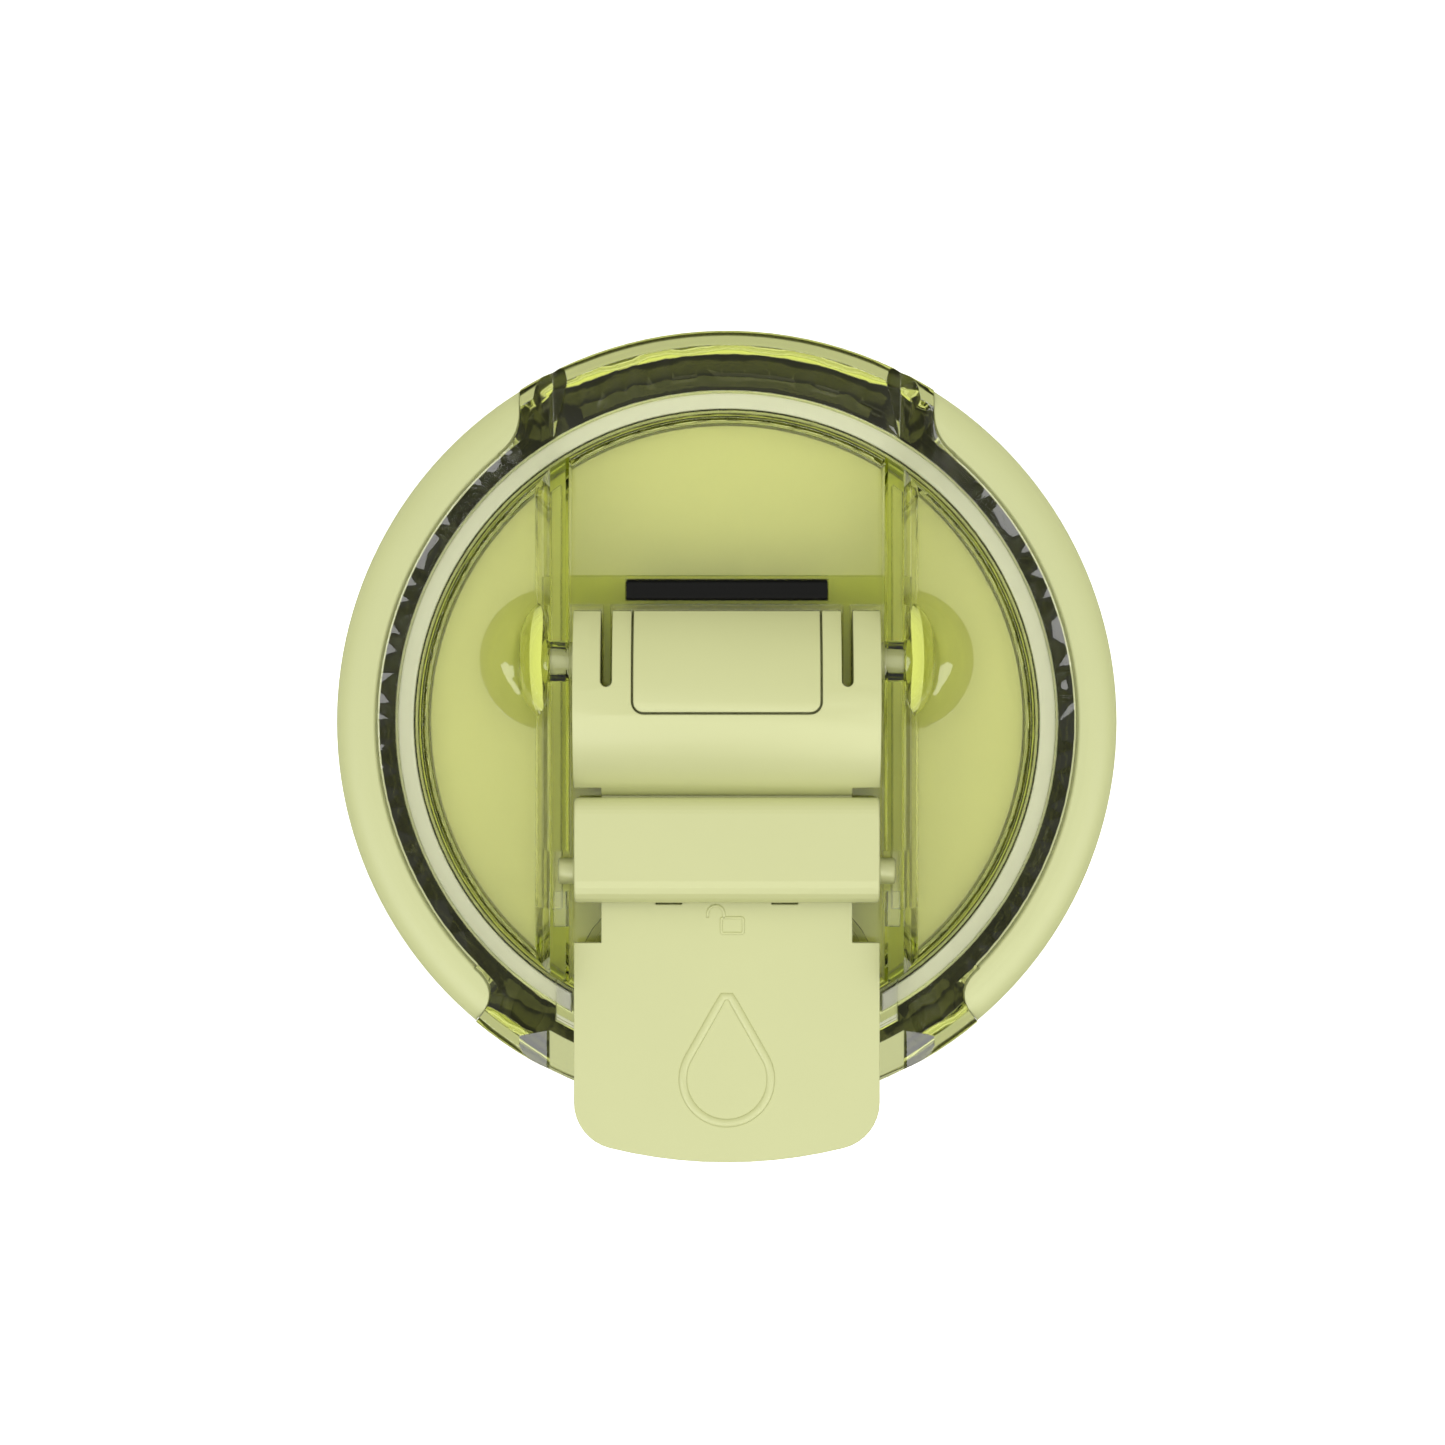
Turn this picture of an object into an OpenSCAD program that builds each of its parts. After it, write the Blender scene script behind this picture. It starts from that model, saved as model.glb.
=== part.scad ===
// Flip-lever tumbler lid with slide lock, in millimetres.
// Origin at the middle of the base cover's underside, +Z up, drinking side towards -Y.

/* [Lid] */
// Outer diameter of the rim
lid_d = 100; // [90:1:120]
// Depth of the plug under the flange
plug_h = 15; // [13:0.5:18]
// Height of the rim above the flange
rim_h = 10; // [9:0.5:12]
// Thickness of the clear deck
deck_t = 2.5; // [2:0.25:3]
// Radial wall of the skirt
skirt_t = 1.4; // [1.2:0.1:1.8]
// Height of the shallow domes beside the hinge, over the deck
dome_h = 3.8; // [3:0.1:5]

/* [Lever] */
// Width of the lever over its sides
lever_w = 39; // [34:0.5:44]
// How far the tip stands past the rim
lever_over = 6.2; // [3:0.2:8]
// Diameter of the hinge pins
pin_d = 5; // [4:0.2:5.6]
// Radius of the barrel's arch
arch_r = 16; // [15:0.5:20]
// Thickness of the thumb pad
pad_t = 2.2; // [2:0.1:3]

/* [Slide lock] */
// Travel of the slide lock
lock_travel = 4.9; // [3.5:0.1:4.9]
// Diameter of the lock pins
lock_pin_d = 3.4; // [2.8:0.1:3.6]
// Height of the bar above the neck
bar_h = 3.8; // [3.2:0.1:5]

/* [Passages] */
// Width of the sip port
port_w = 18; // [14:0.5:18.5]
// Front to back size of the sip port
port_l = 7; // [6:0.25:7.5]
// Bore of the air vent
vent_d = 3; // [2.5:0.1:4]

/* [Hidden] */
$fn = 96;

R = lid_d / 2;
zf = plug_h;
deck_z = zf + 4.5;
ledge_z = zf + 5.3;
rim_z = zf + rim_h;
lip_z = ledge_z + 0.54 * (rim_z - ledge_z);
ax_y = 7.67;
ax_z = max(zf + 10.6, lip_z + 2.76);
hw = lever_w / 2;
rail_in = hw + 0.5;
rail_z = ax_z + lock_pin_d / 2 + 1.7;
r_deck = R - 11.5;
r_ledge = R - 10.8;
r_slope0 = R - 7.3;
r_slope1 = R - 2.2;
skirt_o = R - 10;
skirt_i = skirt_o - skirt_t;

// Lever levels
neck_z1 = ax_z - 0.2;
neck_z0 = neck_z1 - 2.8;
pad_z1 = neck_z1;
pad_z0 = max(lip_z + 0.36, pad_z1 - pad_t);
crest_y = 3;
crest_z = ax_z + 5.9;
rear_r = 6.55;
bar_y0 = -9.65;
bar_y1 = -23.0;
shoulder_y = bar_y1 - lock_travel - 0.3;
tip_y = -(R + lever_over);
lock_y = -19.0;

// Well and port
port_y = -(R - 21.4);
well_y0 = port_y + port_l / 2 + 1.45;
well_y1 = -(R - 8);
well_hx = hw - 1.4;
well_z = zf + 1.8;

vent_y = -14;

// Half widths of the lowered lip, of the ridges beside it and of the rear wedges
lip_hx = hw + 3.2;
ridge_hx = hw + 7;
wedge_x = hw + 2.8;
strip_hx = hw - 6.7;

module at_both() { children(); mirror([1, 0, 0]) children(); }

// Outline with rounded corners, from -hx to hx and y0 down to y1
function rrect(hx, y0, y1, r, n = 8) = concat(
  [for (i = [0:n]) [hx - r + r * cos(90 * i / n), y0 - r + r * sin(90 * i / n)]],
  [for (i = [0:n]) [-hx + r - r * sin(90 * i / n), y0 - r + r * cos(90 * i / n)]],
  [for (i = [0:n]) [-hx + r - r * cos(90 * i / n), y1 + r - r * sin(90 * i / n)]],
  [for (i = [0:n]) [hx - r + r * sin(90 * i / n), y1 + r - r * cos(90 * i / n)]]);

// Points of a bend from a to b with its corner at c
function bend(a, c, b, n = 8) =
  [for (i = [0:n]) let (t = i / n) (1 - t) * (1 - t) * a + 2 * t * (1 - t) * c + t * t * b];

// Oblong w by l about the origin
module oblong(w, l) {
  polygon(rrect(w / 2, l / 2, -l / 2, l / 2 - 0.05, 10));
}

// Bar across X from -hx to hx with a profile in (y, z)
module across(hx, pts) {
  translate([-hx, 0, 0]) rotate([90, 0, 90]) linear_extrude(2 * hx) polygon(pts);
}

module xcyl(r, x0, x1, y, z) {
  translate([x0, y, z]) rotate([0, 90, 0]) cylinder(r = r, h = x1 - x0);
}

module box(x0, x1, y0, y1, z0, z1) {
  translate([x0, y0, z0]) cube([x1 - x0, y1 - y0, z1 - z0]);
}

// Plan region of the right grip, grown by g
module grip_plan(g) {
  a1 = 50;
  L = R * 1.6;
  // Inner corners at the rear and the front end, and where their rounding starts and stops
  rr = R - 5.1;
  out = [cos(a1), -sin(a1)];
  c1 = [ridge_hx - g, sqrt(rr * rr - ridge_hx * ridge_hx) - g];
  p1 = c1 + (3.4 - g) * [c1[1], -c1[0]] / rr;
  q1 = c1 + [0, 3.4 - g];
  c2 = (rr - g) * out - g * [sin(a1), cos(a1)];
  p2 = c2 + (4.5 - g) * [sin(a1), cos(a1)];
  q2 = c2 + (4 - g) * out;
  polygon(concat([[20, 0], [20, 26]], bend(p1, c1, q1), [[ridge_hx - g, L], [L, L], [L, -L * 0.2],
    c2 + L * out], bend(q2, c2, p2), [[24, -20]]));
}

module grip_body(g) {
  rotate_extrude() polygon([
    [R - 5.1 - g, ledge_z + 0.9 - g], [R - 3.4 - g, zf + 2 - g], [R + 1, zf + 2 - g], [R + 1, rim_z + 2],
    [R - 5.1 - g, rim_z + 2]]);
}

// Root of the mouth gasket in its groove under the ledge, grown by g, open at the sip well
module gasket_root(g) {
  difference() {
    rotate_extrude() polygon([
      [skirt_o + 0.45 - g, zf - 0.5], [skirt_o + 2.4 + g, zf - 0.5],
      [skirt_o + 2.4 + g, ledge_z - 1.3 + g], [skirt_o + 0.45 - g, ledge_z - 1.3 + g]]);
    box(-well_hx - 2 + g, well_hx + 2 - g, -R, 0, 0, 60);
  }
}

module grip_right_solid() {
  intersection() {
    rotate_extrude() polygon(concat(
      [[R - 5.1, ledge_z + 0.95], [R - 3.4, zf + 2.05], [R - 0.5, zf + 2.05], [R, zf + 2.6], [R, rim_z - 2.4]],
      [for (i = [1:8]) [R - 3.8 + 3.8 * cos(90 * i / 8), rim_z - 2.4 + 2.6 * sin(90 * i / 8)]],
      [[R - 4.9, rim_z + 0.2], [R - 5.1, rim_z]]));
    translate([0, 0, zf]) linear_extrude(rim_h + 4) grip_plan(0);
  }
}

module upper_housing() {
  color([0.82, 0.84, 0.50, 0.6])
  union() {
  // Ribs that stand in the lever's relief slots
  at_both() box(hw - 4.75, hw - 3.75, 4.9, 15.2, deck_z - 1.5, ax_z + 1);
  difference() {
    union() {
      // Rim, flange, deck and skirt turned in one
      rotate_extrude() polygon([
        [0, deck_z - deck_t], [skirt_i, deck_z - deck_t], [skirt_i, 3], [skirt_o, 3],
        [skirt_o, 8.2], [skirt_o + 0.8, 8.5], [skirt_o + 0.8, 8.9], [skirt_o, 9.2],
        [skirt_o, zf + 0.3], [R - 5.8, zf + 0.3], [R - 5.8, zf], [R, zf], [R, rim_z - 0.9], [R - 0.25, rim_z - 0.3], [R - 0.8, rim_z],
        [R - 1.9, rim_z], [R - 2.2, rim_z - 0.2], [r_slope0, ledge_z], [r_ledge, ledge_z],
        [r_deck, deck_z], [0, deck_z]]);
      // Rails beside the lever
      intersection() {
        at_both() translate([0, R, 0]) rotate([90, 0, 0]) linear_extrude(2 * R)
          polygon([[rail_in, deck_z - 1], [rail_in, rail_z - 0.4], [rail_in + 0.4, rail_z],
                   [rail_in + 2.4, rail_z], [rail_in + 4.7, deck_z], [rail_in + 4.7, deck_z - 1]]);
        cylinder(r = r_ledge - 0.1, h = 60);
      }
      // Domed hinge bosses
      at_both() difference() {
        union() {
          translate([rail_in + 2.7, 8, deck_z + dome_h - 13]) sphere(r = 13, $fn = 48);
          translate([rail_in - 1.8, 8, deck_z + 0.1]) sphere(r = 9.6, $fn = 40);
        }
        box(-20, rail_in, -20, 30, -20, 60);
        box(-20, 60, -20, 30, -20, deck_z - 1);
      }
      // Rear cross wall
      box(-rail_in - 0.3, rail_in + 0.3, 14.9, 18.6, deck_z - 2, ax_z + 1.9);
      // Collar and floor of the sip well
      translate([0, 0, zf]) linear_extrude(deck_z - zf - 0.5)
        polygon(rrect(well_hx + 1, well_y0 + 1, well_y1 - 0.8, 9.7));
      // Lugs on the skirt
      for (a = [45, 135, 225, 315]) rotate([0, 0, a - 13]) rotate_extrude(angle = 26)
        polygon([[skirt_o - 0.3, 4.4], [skirt_o + 2.2, 4.8], [skirt_o + 2.6, 5.4],
                 [skirt_o + 2.6, 6], [skirt_o + 2.2, 6.4], [skirt_o - 0.3, 6.8]]);
    }
    // Core of the rails, open underneath
    intersection() {
      at_both() translate([0, R, 0]) rotate([90, 0, 0]) linear_extrude(2 * R)
        polygon([[rail_in + 1.2, 0], [rail_in + 1.2, ax_z - 3.6], [rail_in + 2.4, ax_z - 3.6],
                 [rail_in + 3.1, deck_z], [rail_in + 3.1, 0]]);
      cylinder(r = r_ledge - 2.2, h = 60);
      box(-R, R, -24, R, 0, 60);
    }
    // Groove for the root of the mouth gasket
    gasket_root(0.1);
    // Slot for the stop strip
    box(-strip_hx - 0.1, strip_hx + 0.1, 15.4, 18.1, deck_z + 1, 60);
    // Sip well
    translate([0, 0, well_z]) linear_extrude(20) polygon(rrect(well_hx, well_y0, well_y1, 8.7));
    // Front channel floor up to the lip
    intersection() {
      box(-rail_in - 2, rail_in + 2, -R, -33, deck_z, 60);
      cylinder(r = R - 5.7, h = 60);
    }
    // Lowered front lip between two sloping facets
    difference() {
      translate([0, -20, 0]) rotate([90, 0, 0]) linear_extrude(R)
        polygon([[-lip_hx, lip_z], [lip_hx, lip_z], [ridge_hx, rim_z], [ridge_hx + 3.5, rim_z + 3],
                 [-ridge_hx - 3.5, rim_z + 3], [-ridge_hx, rim_z]]);
      translate([0, 0, -1]) cylinder(r = R - 9.5, h = 80);
    }
    // Rear grooves of V section through the rim
    at_both() translate([wedge_x, sqrt(r_slope0 * r_slope0 - wedge_x * wedge_x), ledge_z + 0.05])
      rotate([16.7, 0, 0]) translate([0, 14, 0]) rotate([90, 0, 0]) linear_extrude(14)
        polygon([[0, 0], [4, 5], [-4, 5]]);
    // Seats of the grips
    at_both() intersection() {
      grip_body(0.05);
      translate([0, 0, zf + 1]) linear_extrude(rim_h + 8) grip_plan(0.05);
    }
    // Swing room under the barrel
    box(-rail_in, rail_in, -2, 14.9, ax_z - 7.2, deck_z + 0.01);
    // Hinge holes
    xcyl(pin_d / 2 + 0.1, -rail_in - 2.7, rail_in + 2.7, ax_y, ax_z);
    // Lock pockets, open at the top, and the hooked tunnels in front of them
    at_both() {
      box(rail_in - 1, rail_in + 2, lock_y - 2.5, lock_y + 2.6, ax_z - lock_pin_d / 2 - 0.3, 60);
      box(rail_in - 1, rail_in + 2, lock_y - lock_travel - lock_pin_d / 2 - 0.4, lock_y,
          ax_z - lock_pin_d / 2 - 0.3, ax_z + lock_pin_d / 2 + 0.3);
    }
    // Sip port and vent
    translate([0, port_y, 0]) linear_extrude(40) oblong(port_w, port_l);
    translate([0, vent_y, 0]) cylinder(d = vent_d, h = 40);
  }
  }
}

module inner_cup() {
  color([0.84, 0.85, 0.63])
  difference() {
    rotate_extrude() polygon([
      [0, zf - 2.1], [skirt_i - 2.05, zf - 2.1], [skirt_i - 2.05, 2.65], [skirt_i - 0.1, 2.65],
      [skirt_i - 0.1, zf - 0.4], [0, zf - 0.4]]);
    translate([0, port_y, 0]) linear_extrude(40) oblong(port_w + 3, port_l + 3);
    translate([0, vent_y, 0]) cylinder(d = vent_d + 4.4, h = 40);
  }
}

module base_cover() {
  color([0.80, 0.81, 0.58])
  difference() {
    rotate_extrude() polygon([
      [0, 0], [skirt_o - 1.2, 0], [skirt_o - 0.4, 0.4], [skirt_o - 0.1, 1.2], [skirt_o - 0.1, 2.6],
      [skirt_i - 2.4, 2.6], [skirt_i - 2.4, 3.8], [skirt_i - 3.45, 3.8], [skirt_i - 3.45, 5.2],
      [skirt_i - 2.4, 5.2], [skirt_i - 2.4, 6], [skirt_i - 4.4, 6], [skirt_i - 4.4, 2.6], [0, 2.6]]);
    translate([0, port_y, -1]) linear_extrude(40) oblong(port_w, port_l);
    translate([0, vent_y, -1]) cylinder(d = vent_d, h = 40);
  }
}

module chamber_seal() {
  color([0.92, 0.92, 0.86])
  rotate_extrude() translate([skirt_i - 2.75, 4.5]) circle(r = 0.65, $fn = 32);
}

module spout_sleeve() {
  color([0.84, 0.85, 0.63])
  translate([0, port_y, 2.65]) linear_extrude(zf - 2.7) difference() {
    oblong(port_w + 2.4, port_l + 2.4);
    oblong(port_w, port_l);
  }
}

module vent_sleeve() {
  color([0.84, 0.85, 0.63])
  translate([0, vent_y, 2.65]) difference() {
    cylinder(d = vent_d + 3.8, h = deck_z - deck_t - 2.7);
    translate([0, 0, -1]) cylinder(d = vent_d, h = 40);
  }
}

module mouth_gasket() {
  color([0.93, 0.93, 0.88])
  union() {
    rotate_extrude() polygon([
      [skirt_o + 0.05, 9.3], [skirt_o + 3, 9.3], [skirt_o + 3.5, 9.6], [skirt_o + 4, 10],
      [skirt_o + 4, 10.8], [skirt_o + 2.6, 11.3], [skirt_o + 2.6, zf - 2.9], [skirt_o + 4, zf - 2.4],
      [skirt_o + 4, zf - 1.6], [skirt_o + 3, zf - 1], [skirt_o + 2.6, zf - 0.1],
      [skirt_o + 0.05, zf - 0.1]]);
    gasket_root(0);
  }
}

module grip_right() {
  color([0.84, 0.845, 0.66]) grip_right_solid();
}

module grip_left() {
  color([0.84, 0.845, 0.66]) mirror([1, 0, 0]) grip_right_solid();
}

module stop_strip() {
  color([0.10, 0.10, 0.09])
  across(strip_hx, [[15.5, deck_z + 1.1], [18, deck_z + 1.1], [18, ax_z + 1.5], [17.7, ax_z + 1.8],
                    [15.8, ax_z + 1.8], [15.5, ax_z + 1.5]]);
}

// Solid under the barrel's arch of radius r
module arch(r, hx) {
  intersection() {
    xcyl(r, -hx, hx, crest_y, crest_z - arch_r);
    union() {
      box(-hx - 1, hx + 1, -9.35, ax_y, ax_z - 8, 60);
      xcyl(rear_r, -hx - 1, hx + 1, ax_y, ax_z);
    }
  }
}

// Thumb pad in plan, with a wide front arc and rounded corners
function pad_plan(hx, rc, n = 8) = let (
    rb = 62,
    cy = tip_y + rb,
    cx = hx - rc,
    yc = cy - sqrt((rb - rc) * (rb - rc) - cx * cx),
    a = asin(cx / (rb - rc))
  ) concat(
    [[hx, shoulder_y]],
    [for (i = [0:n]) let (t = -(90 - a) * i / n) [cx + rc * cos(t), yc + rc * sin(t)]],
    [for (i = [1:9]) let (t = -(90 - a) - 2 * a * i / 10) [rb * cos(t), cy + rb * sin(t)]],
    [for (i = [0:n]) let (t = -(90 + a) - (90 - a) * i / n) [-cx + rc * cos(t), yc + rc * sin(t)]],
    [[-hx, shoulder_y]]);

module lever() {
  color([0.84, 0.85, 0.63])
  union() {
    difference() {
      union() {
        // Barrel, its underside cut flat, lower round the hinge
        intersection() {
          arch(arch_r, hw);
          union() {
            box(-hw, hw, 0, 30, ax_z - 4.2, 60);
            box(-hw, hw, -20, 0, neck_z0, 60);
          }
        }
        // Neck under the slide lock
        box(-hw + 3.5, hw - 3.5, shoulder_y - 2, -9, neck_z0, neck_z1);
        // Thumb pad and the thicker block under it
        translate([0, 0, pad_z0]) linear_extrude(pad_z1 - pad_z0) polygon(pad_plan(hw, 6));
        box(-hw + 3.5, hw - 3.5, -(R - 9.5), shoulder_y, neck_z0, pad_z0 + 0.5);
        // Hinge pins
        xcyl(pin_d / 2, -rail_in - 2.4, -hw + 1.5, ax_y, ax_z);
        xcyl(pin_d / 2, hw - 1.5, rail_in + 2.4, ax_y, ax_z);
      }
      // Relief slots that let the pin tabs flex
      at_both() {
        box(hw - 5, hw - 3.5, 5.15, 20, 0, 60);
        translate([hw - 4.25, 5.15, 0]) cylinder(r = 0.75, h = 60, $fn = 32);
        // Corner notch behind the slide lock's leg
        box(hw - 3.5, hw + 1, -12, -8.4, 0, 60);
        // Key grooves in the neck
        box(5.7, 9.1, bar_y1 - 0.3, bar_y0 - 2.4, neck_z1 - 1.2, neck_z1 + 1);
        // Peg holes for the seal carrier
        translate([8, port_y, neck_z0 - 1]) cylinder(r = 1.55, h = 2.8);
      }
      // Seat of the hinge cover
      difference() {
        linear_extrude(60) polygon(rrect(hw - 7.4, 22, 0.9, 1.6));
        xcyl(arch_r - 1.8, -hw, hw, crest_y, crest_z - arch_r);
      }
      // Hole for the stem of the vent seal
      translate([0, vent_y, neck_z0 - 1]) cylinder(r = 1.3, h = 2.8);
    }
  }
}

module hinge_cover() {
  color([0.86, 0.87, 0.66])
  intersection() {
    difference() {
      arch(arch_r, hw - 7.7);
      xcyl(arch_r - 1.7, -hw, hw, crest_y, crest_z - arch_r);
    }
    translate([0, 0, ax_z + 0.2]) linear_extrude(30) polygon(rrect(hw - 7.7, 22, 1.2, 1.3));
  }
}

module seal_carrier() {
  color([0.78, 0.79, 0.55])
  union() {
    box(-12.6, 12.6, port_y - 4.4, port_y + 4.4, deck_z + 0.4, neck_z0 - 0.05);
    at_both() translate([8, port_y, neck_z0 - 1]) cylinder(r = 1.5, h = 2.6);
  }
}

module sip_seal() {
  color([0.93, 0.93, 0.88])
  translate([0, port_y, 0]) union() {
    translate([0, 0, well_z + 0.15]) linear_extrude(deck_z + 0.35 - well_z - 0.15)
      oblong(port_w + 2, port_l + 2);
    translate([0, 0, well_z - 1.2]) linear_extrude(1.5) oblong(port_w - 1.4, port_l - 1.4);
  }
}

module vent_seal() {
  color([0.93, 0.93, 0.88])
  translate([0, vent_y, 0]) union() {
    translate([0, 0, deck_z + 0.15]) cylinder(d = 6.6, h = neck_z0 - 0.05 - deck_z - 0.15);
    translate([0, 0, deck_z - 0.5]) cylinder(d = vent_d - 0.8, h = 1);
    translate([0, 0, neck_z0 - 0.5]) cylinder(r = 1.25, h = 2);
  }
}

module lock_slider() {
  zb = neck_z1 + 0.3;
  zt = neck_z1 + bar_h;
  color([0.84, 0.85, 0.63])
  union() {
    across(hw - 0.1, concat(
      [[bar_y1, zb], [bar_y0, zb], [bar_y0, zt - 2]],
      [for (i = [1:6]) [bar_y0 - 2 + 2 * cos(90 * i / 6), zt - 2 + 2 * sin(90 * i / 6)]],
      [[bar_y1 + 2.8, zt]],
      [for (i = [1:5]) [bar_y1 + 2.8 - 2.8 * sin(90 * i / 5), zt - 2.2 + 2.2 * cos(90 * i / 5)]]));
    at_both() {
      // Legs beside the neck and hooks under it
      box(hw - 3.2, hw - 0.1, bar_y1, bar_y0, neck_z0 - 1.4, zb + 0.5);
      box(13.5, hw - 3, bar_y1, bar_y0, neck_z0 - 1.4, neck_z0 - 0.3);
      // Keys that run in the neck's grooves
      box(6, 8.8, bar_y1 + lock_travel, bar_y0 - 3.35, neck_z1 - 0.9, zb + 0.5);
      // Lock pins
      xcyl(lock_pin_d / 2, hw - 0.6, rail_in + 1.5, lock_y, ax_z);
    }
  }
}

upper_housing();
inner_cup();
base_cover();
chamber_seal();
spout_sleeve();
vent_sleeve();
mouth_gasket();
grip_left();
grip_right();
stop_strip();
lever();
hinge_cover();
seal_carrier();
sip_seal();
vent_seal();
lock_slider();
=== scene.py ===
"""Flip-lever tumbler lid: finishes, small moulded details and the studio stage."""
import math

import bmesh
import bpy
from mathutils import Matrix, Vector


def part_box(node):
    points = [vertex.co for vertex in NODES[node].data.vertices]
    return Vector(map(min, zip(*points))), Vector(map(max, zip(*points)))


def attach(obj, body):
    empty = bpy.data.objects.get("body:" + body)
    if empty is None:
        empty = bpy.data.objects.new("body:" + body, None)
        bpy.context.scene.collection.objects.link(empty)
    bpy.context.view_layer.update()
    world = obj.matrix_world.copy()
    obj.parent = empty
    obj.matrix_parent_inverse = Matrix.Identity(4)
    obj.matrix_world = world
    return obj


bl_info = {
    "name": "Tumbler Lid",
    "version": (1, 0, 0),
    "blender": (4, 5, 0),
    "location": "View3D > Sidebar > Tumbler Lid",
    "description": "Dresses a flip-lever tumbler lid and sets up its studio stage",
    "category": "Object",
}

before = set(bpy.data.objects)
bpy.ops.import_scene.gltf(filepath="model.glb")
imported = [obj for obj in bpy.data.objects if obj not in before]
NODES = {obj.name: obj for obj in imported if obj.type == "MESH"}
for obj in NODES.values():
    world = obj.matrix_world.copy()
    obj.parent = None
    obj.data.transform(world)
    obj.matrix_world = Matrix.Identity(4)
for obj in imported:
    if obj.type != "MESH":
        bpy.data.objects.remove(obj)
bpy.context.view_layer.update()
MM = 0.001
# Level of the thumb pad's top face
PAD_TOP = 25.4 * MM
# How far behind the lever's tip the drop sign has its middle
DROP_FROM_TIP = 13.5 * MM
# How much lighter and darker the flow mottling of a moulding gets
MOTTLE = 0.025
# Absorption of the clear plastic per metre, for a tint given at full strength
TINT_DENSITY = 300.0
# Softening of the clear plastic's edges in its shading
CLEAR_SOFTENING = 0.16 * MM
# Brightness of the world by height, from straight down through the horizon at 0.5 to straight up
SKY = ((0.0, 0.66), (0.008, 0.62), (0.018, 0.03), (0.47, 0.02), (0.56, 0.12), (0.72, 0.95), (1.0, 1.65))
# Strength of the sky in reflections
MIRRORED_SKY = 0.33
# Name, place, size and power of each soft box
SOFTBOXES = (
    ("softbox_front", (0.0, -0.42, 1.0), (1.3, 0.32), 4.5),
    ("softbox_left", (-0.6, -0.45, 0.68), (1.1, 0.36), 5.5),
    ("softbox_right", (0.6, -0.45, 0.68), (1.1, 0.36), 5.5),
)
SOFTBOX_AIM = (0.0, 0.0, 0.02)


def linear(code, alpha=1.0):
    """An sRGB hex colour as linear RGBA."""
    parts = [int(code[i:i + 2], 16) / 255 for i in (1, 3, 5)]
    return tuple(c / 12.92 if c <= 0.04045 else ((c + 0.055) / 1.055) ** 2.4 for c in parts) + (alpha,)


def colour(name, code, description):
    """A colour that a user can change, from an sRGB hex default."""
    return bpy.props.FloatVectorProperty(
        name=name,
        description=description,
        subtype="COLOR",
        size=4,
        min=0.0,
        max=1.0,
        default=linear(code),
    )


class LidSizes(bpy.types.PropertyGroup):
    lever_round: bpy.props.FloatProperty(
        name="Lever edge radius",
        description="Rounding of the lever's moulded edges",
        default=0.45 * MM,
        min=0.05 * MM,
        max=1.0 * MM,
        precision=5,
        unit="LENGTH",
    )
    lock_round: bpy.props.FloatProperty(
        name="Lock edge radius",
        description="Rounding of the slide lock's edges",
        default=0.35 * MM,
        min=0.05 * MM,
        max=1.0 * MM,
        precision=5,
        unit="LENGTH",
    )
    clear_round: bpy.props.FloatProperty(
        name="Clear edge radius",
        description="Rounding of the clear housing's edges",
        default=0.14 * MM,
        min=0.02 * MM,
        max=0.8 * MM,
        precision=5,
        unit="LENGTH",
    )
    mark_height: bpy.props.FloatProperty(
        name="Drop sign height",
        description="Length of the raised drop outline on the thumb pad",
        default=17.0 * MM,
        min=8.0 * MM,
        max=22.0 * MM,
        precision=4,
        unit="LENGTH",
    )
    grain: bpy.props.FloatProperty(
        name="Mould grain",
        description="Spacing of the fine texture on the opaque mouldings",
        default=0.35 * MM,
        min=0.1 * MM,
        max=1.0 * MM,
        precision=5,
        unit="LENGTH",
    )


class LidColours(bpy.types.PropertyGroup):
    lever: colour("Lever", "#C2C58A", "Opaque pale green of the lever and the slide lock")
    grip: colour("Grips", "#BFC388", "Opaque pale green of the side grips")
    clear: colour("Clear tint", "#F5F7D0", "Tint of the clear plastic")
    inner: colour("Inner cup", "#F8F9B4", "Opaque floor under the clear deck")
    # Black of the stop strip: partly painted shade for the dark band along the clear rear wall
    rubber: colour("Stop strip", "#0C0C09", "Black rubber strip in the rear wall")
    silicone: colour("Seals", "#FAFBE6", "Pale silicone of the gasket and the seals")
    floor: colour("Floor", "#F4F4F2", "Floor of the stage")


def add(mat, kind, values=None, links=None, **props):
    """Adds a node to a material or world with its properties, socket values and incoming links."""
    node = mat.node_tree.nodes.new(kind)
    for key, value in props.items():
        setattr(node, key, value)
    for key, value in (values or {}).items():
        node.inputs[key].default_value = value
    for key, source in (links or {}).items():
        mat.node_tree.links.new(source, node.inputs[key])
    return node


def fresh(name):
    """An empty node material with that name."""
    mat = bpy.data.materials.new(name)
    mat.use_nodes = True
    mat.node_tree.nodes.clear()
    return mat


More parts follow.
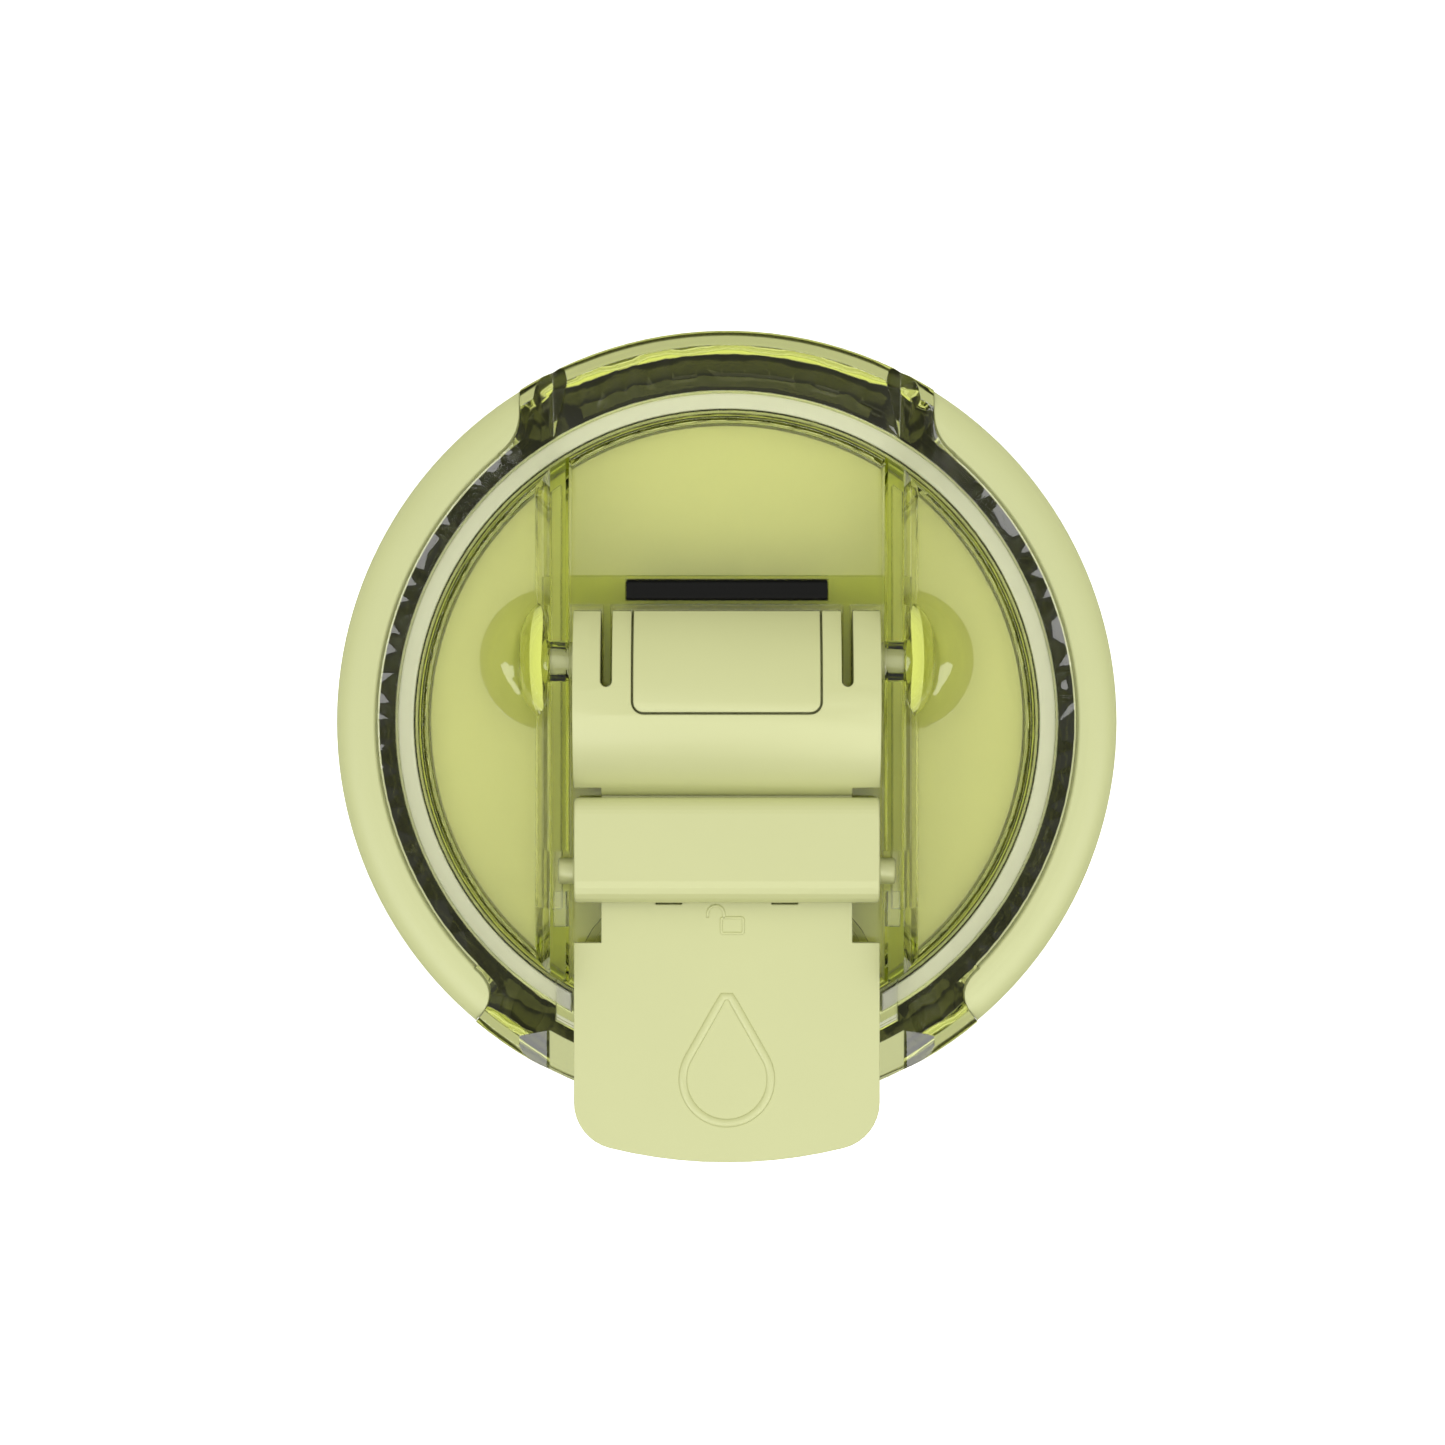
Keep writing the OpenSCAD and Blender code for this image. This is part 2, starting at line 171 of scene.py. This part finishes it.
def moulded(name, tone, rough, grain, depth, specular=0.5, edge=0.25 * MM):
    """Opaque moulding: faint flow mottling, a fine sparked texture, a satin gloss and softened edges."""
    mat = fresh(name)
    place = add(mat, "ShaderNodeTexCoord").outputs["Object"]
    cloud = add(
        mat, "ShaderNodeTexNoise", {"Scale": 60.0, "Detail": 3.0, "Roughness": 0.5}, {"Vector": place}
    )
    light = tuple(min(1.0, c * (1 + MOTTLE)) for c in tone[:3]) + (1.0,)
    dark = tuple(c * (1 - MOTTLE) for c in tone[:3]) + (1.0,)
    shade = add(mat, "ShaderNodeMix", {"A": dark, "B": light}, None, data_type="RGBA")
    mat.node_tree.links.new(cloud.outputs["Fac"], shade.inputs["Factor"])
    grit = add(
        mat,
        "ShaderNodeTexNoise",
        {"Scale": 1.0 / grain, "Detail": 2.0, "Roughness": 0.55},
        {"Vector": place},
    )
    round_edge = add(mat, "ShaderNodeBevel", {"Radius": edge}, samples=4).outputs["Normal"]
    bump = add(
        mat,
        "ShaderNodeBump",
        {"Strength": 0.35, "Distance": depth},
        {"Height": grit.outputs["Fac"], "Normal": round_edge},
    )
    gloss = add(
        mat,
        "ShaderNodeMapRange",
        {"From Min": 0.3, "From Max": 0.7, "To Min": rough - 0.04, "To Max": rough + 0.05},
        {"Value": grit.outputs["Fac"]},
    )
    body = add(
        mat,
        "ShaderNodeBsdfPrincipled",
        {"IOR": 1.53, "Specular IOR Level": specular},
        {
            "Base Color": shade.outputs["Result"],
            "Roughness": gloss.outputs["Result"],
            "Normal": bump.outputs["Normal"],
        },
    )
    add(mat, "ShaderNodeOutputMaterial", None, {"Surface": body.outputs["BSDF"]})
    return mat


def clear_copolyester(tint):
    """Copolyester, injection moulded and left clear: glassy, green-tinted, darker where it is thicker."""
    mat = fresh("copolyester_clear_moulded")
    place = add(mat, "ShaderNodeTexCoord").outputs["Object"]
    # Flow waviness of a polished mould: a few millimetres across and microns deep
    flow = add(
        mat, "ShaderNodeTexNoise", {"Scale": 180.0, "Detail": 2.0, "Roughness": 0.4}, {"Vector": place}
    )
    round_edge = add(mat, "ShaderNodeBevel", {"Radius": CLEAR_SOFTENING}, samples=4).outputs["Normal"]
    bump = add(
        mat,
        "ShaderNodeBump",
        {"Strength": 0.06, "Distance": 0.02 * MM},
        {"Height": flow.outputs["Fac"], "Normal": round_edge},
    )
    body = add(
        mat,
        "ShaderNodeBsdfPrincipled",
        {
            "Base Color": (1.0, 1.0, 1.0, 1.0),
            "IOR": 1.54,
            "Roughness": 0.02,
            "Transmission Weight": 1.0,
        },
        {"Normal": bump.outputs["Normal"]},
    )
    depth = add(mat, "ShaderNodeVolumeAbsorption", {"Color": tint, "Density": TINT_DENSITY})
    add(
        mat,
        "ShaderNodeOutputMaterial",
        None,
        {"Surface": body.outputs["BSDF"], "Volume": depth.outputs["Volume"]},
    )
    return mat


def dress(obj, mat):
    """Gives every material slot of a piece the same material."""
    for slot in obj.material_slots:
        slot.material = mat
    if not obj.material_slots:
        obj.data.materials.append(mat)


def soften(obj, radius, angle=32.0, segments=3):
    """Rounds the sharp edges of a piece as a mould does, and shades it smooth."""
    weld = obj.modifiers.new("weld", "WELD")
    weld.merge_threshold = 0.002 * MM
    flat = obj.modifiers.new("flat", "DECIMATE")
    flat.decimate_type = "DISSOLVE"
    flat.angle_limit = math.radians(0.6)
    bevel = obj.modifiers.new("edge", "BEVEL")
    bevel.width = radius
    bevel.segments = segments
    bevel.limit_method = "ANGLE"
    bevel.angle_limit = math.radians(angle)
    bevel.use_clamp_overlap = True
    bevel.miter_outer = "MITER_ARC"
    bevel.harden_normals = True


def corner_path(points, radius, steps=4):
    """A closed outline with its corners rounded."""
    path = []
    for i, p in enumerate(points):
        here = Vector(p)
        before = (Vector(points[i - 1]) - here).normalized() * radius
        after = (Vector(points[(i + 1) % len(points)]) - here).normalized() * radius
        for k in range(steps + 1):
            t = k / steps
            spot = here + before * (1 - t) ** 2 + after * t ** 2
            path.append((spot.x, spot.y))
    return path


def bead(name, path, width, height, base, top_steps=5, closed=True):
    """A raised line along a path, with a rounded top, on the plane z = base."""
    mesh = bpy.data.meshes.new(name)
    bm = bmesh.new()
    count = len(path)
    rings = []
    for i, p in enumerate(path):
        if closed:
            ahead = Vector(path[(i + 1) % count]) - Vector(path[i - 1])
        else:
            ahead = Vector(path[min(i + 1, count - 1)]) - Vector(path[max(i - 1, 0)])
        side = Vector((-ahead.y, ahead.x)).normalized()
        ring = []
        for k in range(top_steps + 3):
            if k == 0:
                u, v = -1.0, -0.5
            elif k == top_steps + 2:
                u, v = 1.0, -0.5
            else:
                turn = math.pi * (1 - (k - 1) / top_steps)
                u, v = math.cos(turn), math.sin(turn)
            spot = Vector(p) + side * (u * width / 2)
            ring.append(bm.verts.new((spot.x, spot.y, base + v * height)))
        rings.append(ring)
    for i in range(count if closed else count - 1):
        a, b = rings[i], rings[(i + 1) % count]
        for k in range(len(a) - 1):
            bm.faces.new((a[k], a[k + 1], b[k + 1], b[k]))
    if not closed:
        bm.faces.new(rings[0])
        bm.faces.new(rings[-1])
    bmesh.ops.recalc_face_normals(bm, faces=bm.faces)
    for face in bm.faces:
        face.smooth = True
    bm.to_mesh(mesh)
    bm.free()
    obj = bpy.data.objects.new(name, mesh)
    bpy.context.scene.collection.objects.link(obj)
    return obj


def line(start, end, steps=10):
    """The points between the two ends of a straight line."""
    return [(start[0] + (end[0] - start[0]) * k / steps, start[1] + (end[1] - start[1]) * k / steps)
            for k in range(1, steps)]


def drop_outline(tall, middle):
    """A drop of that length: a round belly towards the tip of the lever, a point towards the hinge."""
    belly = tall * 0.33
    centre = middle - tall * 0.17
    half = math.acos(belly / (tall - belly))
    path = []
    for i in range(49):
        turn = math.pi / 2 + half + (2 * math.pi - 2 * half) * i / 48
        path.append((belly * math.cos(turn), centre + belly * math.sin(turn)))
    tip = (0.0, centre + (tall - belly))
    return path + line(path[-1], tip) + line(tip, path[0])


def padlock_outlines():
    """The body and the open shackle of the padlock sign, in millimetres."""
    body = corner_path([(-0.7, -27.0), (2.1, -27.0), (2.1, -25.0), (-0.7, -25.0)], 0.3)
    bow = [(-1.4 + 1.05 * math.cos(a * math.pi / 10), -24.5 + 1.05 * math.sin(a * math.pi / 10))
           for a in range(1, 11)]
    shackle = [(-0.35, -25.1), (-0.35, -24.5)] + bow + [(-2.45, -25.0)]
    return body, shackle


def softbox(name, place, size, power):
    """A large soft lamp that only draws reflections."""
    lamp = bpy.data.lights.new(name, "AREA")
    lamp.shape = "RECTANGLE"
    lamp.size, lamp.size_y = size
    lamp.energy = power
    obj = bpy.data.objects.new(name, lamp)
    obj.location = place
    obj.rotation_euler = (Vector(SOFTBOX_AIM) - Vector(place)).to_track_quat("-Z", "Y").to_euler()
    obj.visible_diffuse = False
    obj.visible_transmission = False
    bpy.context.scene.collection.objects.link(obj)


def studio_world():
    """A soft overhead sky that gives the light, seen as plain white by the camera."""
    world = bpy.data.worlds.new("studio")
    world.use_nodes = True
    tree = world.node_tree
    tree.nodes.clear()
    way = add(world, "ShaderNodeTexCoord").outputs["Generated"]
    apart = add(world, "ShaderNodeSeparateXYZ", None, {"Vector": way})
    lift = add(
        world,
        "ShaderNodeMapRange",
        {"From Min": -1.0, "From Max": 1.0, "To Min": 0.0, "To Max": 1.0},
        {"Value": apart.outputs["Z"]},
    )
    ramp = add(world, "ShaderNodeValToRGB", None, {"Fac": lift.outputs["Result"]})
    stops = ramp.color_ramp.elements
    stops[0].position, stops[1].position = SKY[0][0], SKY[-1][0]
    for place, value in SKY[1:-1]:
        stops.new(place)
    for stop, (place, value) in zip(stops, SKY):
        stop.color = (value, value, value, 1.0)
    # Reflections see a dimmer sky than the surfaces that it lights. A ray through clear plastic counts as
    # glossy too, so the transmitted ones are taken off.
    path = add(world, "ShaderNodeLightPath")
    mirrored = add(world, "ShaderNodeMath", operation="SUBTRACT", use_clamp=True)
    tree.links.new(path.outputs["Is Glossy Ray"], mirrored.inputs[0])
    tree.links.new(path.outputs["Is Transmission Ray"], mirrored.inputs[1])
    level = add(
        world,
        "ShaderNodeMapRange",
        {"To Min": 1.0, "To Max": MIRRORED_SKY},
        {"Value": mirrored.outputs["Value"]},
    )
    sky = add(
        world,
        "ShaderNodeBackground",
        None,
        {"Color": ramp.outputs["Color"], "Strength": level.outputs["Result"]},
    )
    plain = add(world, "ShaderNodeBackground", {"Color": (1.0, 1.0, 1.0, 1.0), "Strength": 1.0})
    blend = add(world, "ShaderNodeMixShader")
    tree.links.new(path.outputs["Is Camera Ray"], blend.inputs[0])
    tree.links.new(sky.outputs["Background"], blend.inputs[1])
    tree.links.new(plain.outputs["Background"], blend.inputs[2])
    add(world, "ShaderNodeOutputWorld", None, {"Surface": blend.outputs["Shader"]})
    return world


def top_camera():
    """A camera straight above the lid, half a metre up."""
    lens = bpy.data.cameras.new("top_camera")
    lens.sensor_width = 36.0
    lens.lens = 97.6
    lens.clip_start = 0.01
    camera = bpy.data.objects.new("top_camera", lens)
    camera.location = (-0.00055, -0.0001, 0.525)
    bpy.context.scene.collection.objects.link(camera)
    return camera


def sizes():
    return bpy.context.scene.lid_sizes


def colours():
    return bpy.context.scene.lid_colours


class LID_OT_housing(bpy.types.Operator):
    """Dress the clear upper housing"""

    bl_idname = "lid.housing"
    bl_label = "Clear Housing"

    def execute(self, context):
        node = NODES["upper_housing"]
        dress(node, clear_copolyester(tuple(colours().clear)))
        soften(node, sizes().clear_round, 40.0, 2)
        return {"FINISHED"}


class LID_OT_inside(bpy.types.Operator):
    """Dress the inner cup, the base cover and the two sleeves"""

    bl_idname = "lid.inside"
    bl_label = "Inner Cup and Base"

    def execute(self, context):
        # Polypropylene, injection moulded: dull and a little waxy
        mat = moulded("polypropylene_moulded", tuple(colours().inner), 0.5, 0.5 * MM, 0.004 * MM, 0.4)
        for name in ("inner_cup", "base_cover", "spout_sleeve", "vent_sleeve"):
            dress(NODES[name], mat)
        soften(NODES["base_cover"], 0.3 * MM)
        return {"FINISHED"}


class LID_OT_seals(bpy.types.Operator):
    """Dress the gasket and the soft seals"""

    bl_idname = "lid.seals"
    bl_label = "Gasket and Seals"

    def execute(self, context):
        # Silicone rubber, compression moulded: matt with a soft bloom
        mat = moulded("silicone_moulded", tuple(colours().silicone), 0.62, 0.6 * MM, 0.006 * MM, 0.35)
        for name in ("mouth_gasket", "chamber_seal", "sip_seal", "vent_seal"):
            dress(NODES[name], mat)
        # Black rubber stop strip, moulded: matt, almost no highlight. Its black also stands in for the
        # dark band that refraction draws along the clear rear wall, so it is partly painted shade.
        black = moulded("rubber_black_painted_shade", tuple(colours().rubber), 0.6, 0.4 * MM, 0.006 * MM, 0.1)
        dress(NODES["stop_strip"], black)
        return {"FINISHED"}


class LID_OT_grips(bpy.types.Operator):
    """Dress the two side grips"""

    bl_idname = "lid.grips"
    bl_label = "Side Grips"

    def execute(self, context):
        # Thermoplastic elastomer moulded over the rim: fine matt skin
        mat = moulded("elastomer_overmoulded", tuple(colours().grip), 0.5, sizes().grain, 0.01 * MM)
        for name in ("grip_left", "grip_right"):
            dress(NODES[name], mat)
            soften(NODES[name], 0.35 * MM, 40.0)
        return {"FINISHED"}


class LID_OT_lever(bpy.types.Operator):
    """Dress the lever and its cover and raise the drop sign on the thumb pad"""

    bl_idname = "lid.lever"
    bl_label = "Lever"

    def execute(self, context):
        # ABS, injection moulded in a finely sparked mould: satin with a soft highlight
        mat = moulded("abs_satin_moulded", tuple(colours().lever), 0.42, sizes().grain, 0.01 * MM)
        for name in ("lever", "hinge_cover", "seal_carrier"):
            dress(NODES[name], mat)
        soften(NODES["lever"], sizes().lever_round)
        soften(NODES["hinge_cover"], 0.2 * MM)
        low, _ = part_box("lever")
        drop_path = drop_outline(sizes().mark_height, low[1] + DROP_FROM_TIP)
        drop = bead("drop_sign", drop_path, 1.1 * MM, 0.22 * MM, PAD_TOP)
        # Open padlock sign that the lock covers when it is shut
        body_path, shackle_path = ([(x * MM, y * MM) for x, y in path] for path in padlock_outlines())
        padlock = bead("padlock_sign", body_path, 0.4 * MM, 0.12 * MM, PAD_TOP)
        shackle = bead("shackle_sign", shackle_path, 0.4 * MM, 0.12 * MM, PAD_TOP, closed=False)
        for sign in (drop, padlock, shackle):
            dress(sign, mat)
            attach(sign, "lever")
        return {"FINISHED"}


class LID_OT_lock(bpy.types.Operator):
    """Dress the slide lock"""

    bl_idname = "lid.lock"
    bl_label = "Slide Lock"

    def execute(self, context):
        mat = bpy.data.materials["abs_satin_moulded"]
        dress(NODES["lock_slider"], mat)
        soften(NODES["lock_slider"], sizes().lock_round)
        return {"FINISHED"}


class LID_OT_stage(bpy.types.Operator):
    """Set up the floor, the soft lights, the world and the camera"""

    bl_idname = "lid.stage"
    bl_label = "Stage"

    def execute(self, context):
        bpy.ops.mesh.primitive_plane_add(size=12.0, location=(0.0, 0.0, -0.0002))
        floor = context.active_object
        floor.name = "stage_floor"
        paper = fresh("paper_sweep_matt")
        glow = add(
            paper,
            "ShaderNodeBsdfPrincipled",
            {
                "Base Color": tuple(colours().floor),
                "Roughness": 0.9,
                "Emission Color": (1.0, 1.0, 1.0, 1.0),
                "Emission Strength": 0.6,
            },
        )
        add(paper, "ShaderNodeOutputMaterial", None, {"Surface": glow.outputs["BSDF"]})
        floor.data.materials.append(paper)
        # The lid's clear walls look down into a dark table well, so that their edges draw dark lines
        floor.visible_transmission = False
        floor.visible_glossy = False

        for box in SOFTBOXES:
            softbox(*box)
        scene = context.scene
        scene.world = studio_world()
        scene.view_settings.view_transform = "Standard"
        scene.camera = top_camera()
        return {"FINISHED"}


STEPS = (
    LID_OT_housing,
    LID_OT_inside,
    LID_OT_seals,
    LID_OT_grips,
    LID_OT_lever,
    LID_OT_lock,
    LID_OT_stage,
)


class LID_PT_panel(bpy.types.Panel):
    """Sizes, colours and steps of the tumbler lid"""

    bl_idname = "LID_PT_panel"
    bl_label = "Tumbler Lid"
    bl_space_type = "VIEW_3D"
    bl_region_type = "UI"
    bl_category = "Tumbler Lid"

    def draw(self, context):
        for group in (context.scene.lid_sizes, context.scene.lid_colours):
            box = self.layout.box()
            for key in group.__annotations__:
                box.prop(group, key)
        for step in STEPS:
            self.layout.operator(step.bl_idname)


CLASSES = (LidSizes, LidColours) + STEPS + (LID_PT_panel,)


def register():
    for cls in CLASSES:
        bpy.utils.register_class(cls)
    bpy.types.Scene.lid_sizes = bpy.props.PointerProperty(type=LidSizes)
    bpy.types.Scene.lid_colours = bpy.props.PointerProperty(type=LidColours)


def unregister():
    del bpy.types.Scene.lid_colours
    del bpy.types.Scene.lid_sizes
    for cls in reversed(CLASSES):
        bpy.utils.unregister_class(cls)


def main():
    """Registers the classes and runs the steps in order."""
    register()
    bpy.ops.lid.housing()
    bpy.ops.lid.inside()
    bpy.ops.lid.seals()
    bpy.ops.lid.grips()
    bpy.ops.lid.lever()
    bpy.ops.lid.lock()
    bpy.ops.lid.stage()


if __name__ == "__main__":
    main()
